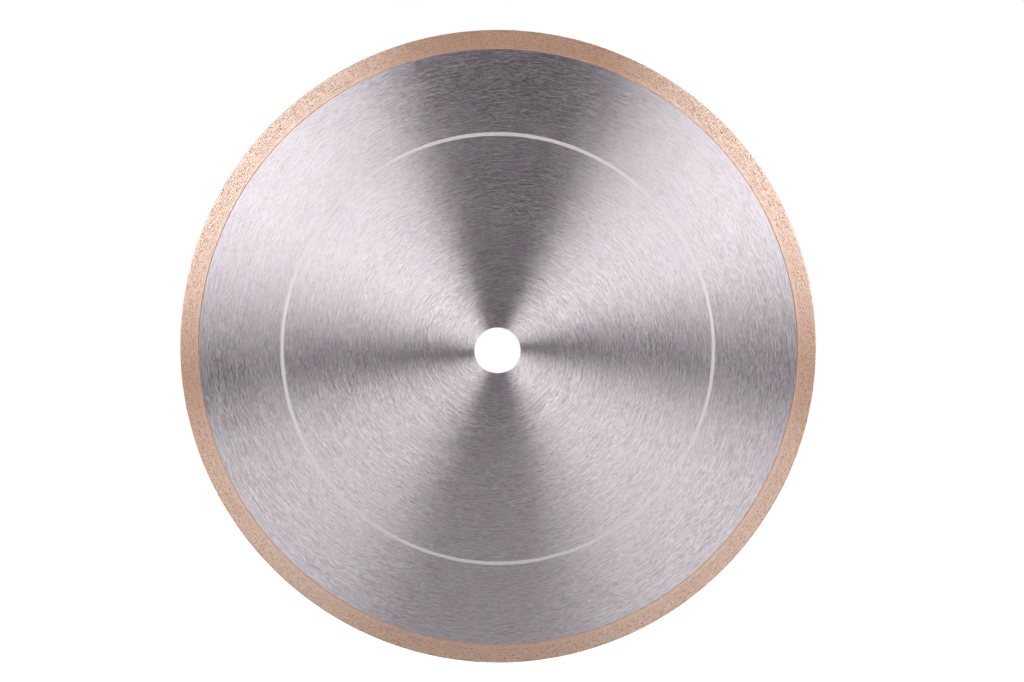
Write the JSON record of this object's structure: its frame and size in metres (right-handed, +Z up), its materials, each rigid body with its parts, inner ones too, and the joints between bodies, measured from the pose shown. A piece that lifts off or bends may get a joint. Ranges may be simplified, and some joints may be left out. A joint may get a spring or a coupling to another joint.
{
  "type": "continuous rim diamond blade",
  "caption": "Thin round steel saw blade with a plain arbor bore and an unbroken bronze rim that carries diamond grit, for wet cutting of tile, stone and concrete.",
  "frame": {"origin": "centre of the arbor bore, half way through the plate", "axes": "+Y is the spin axis, with the front face towards -Y; +Z is up with the blade standing upright"},
  "size_m": [0.35, 0.0032, 0.35],
  "materials": {
    "core_steel": "ground and brushed round the axis, satin",
    "solder": "dull solder line",
    "backing_bronze": "sintered bronze, ground, fine and plain",
    "diamond_bronze": "sintered bronze, ground, speckled with grit",
    "ring_marking": "matt light grey"
  },
  "bodies": {
    "root": {"steel_core": "core_steel", "braze_joint": "solder", "rim_backing_ring": "backing_bronze", "diamond_rim": "diamond_bronze", "front_ring_mark": "ring_marking", "rear_ring_mark": "ring_marking"}
  },
  "joints": []
}
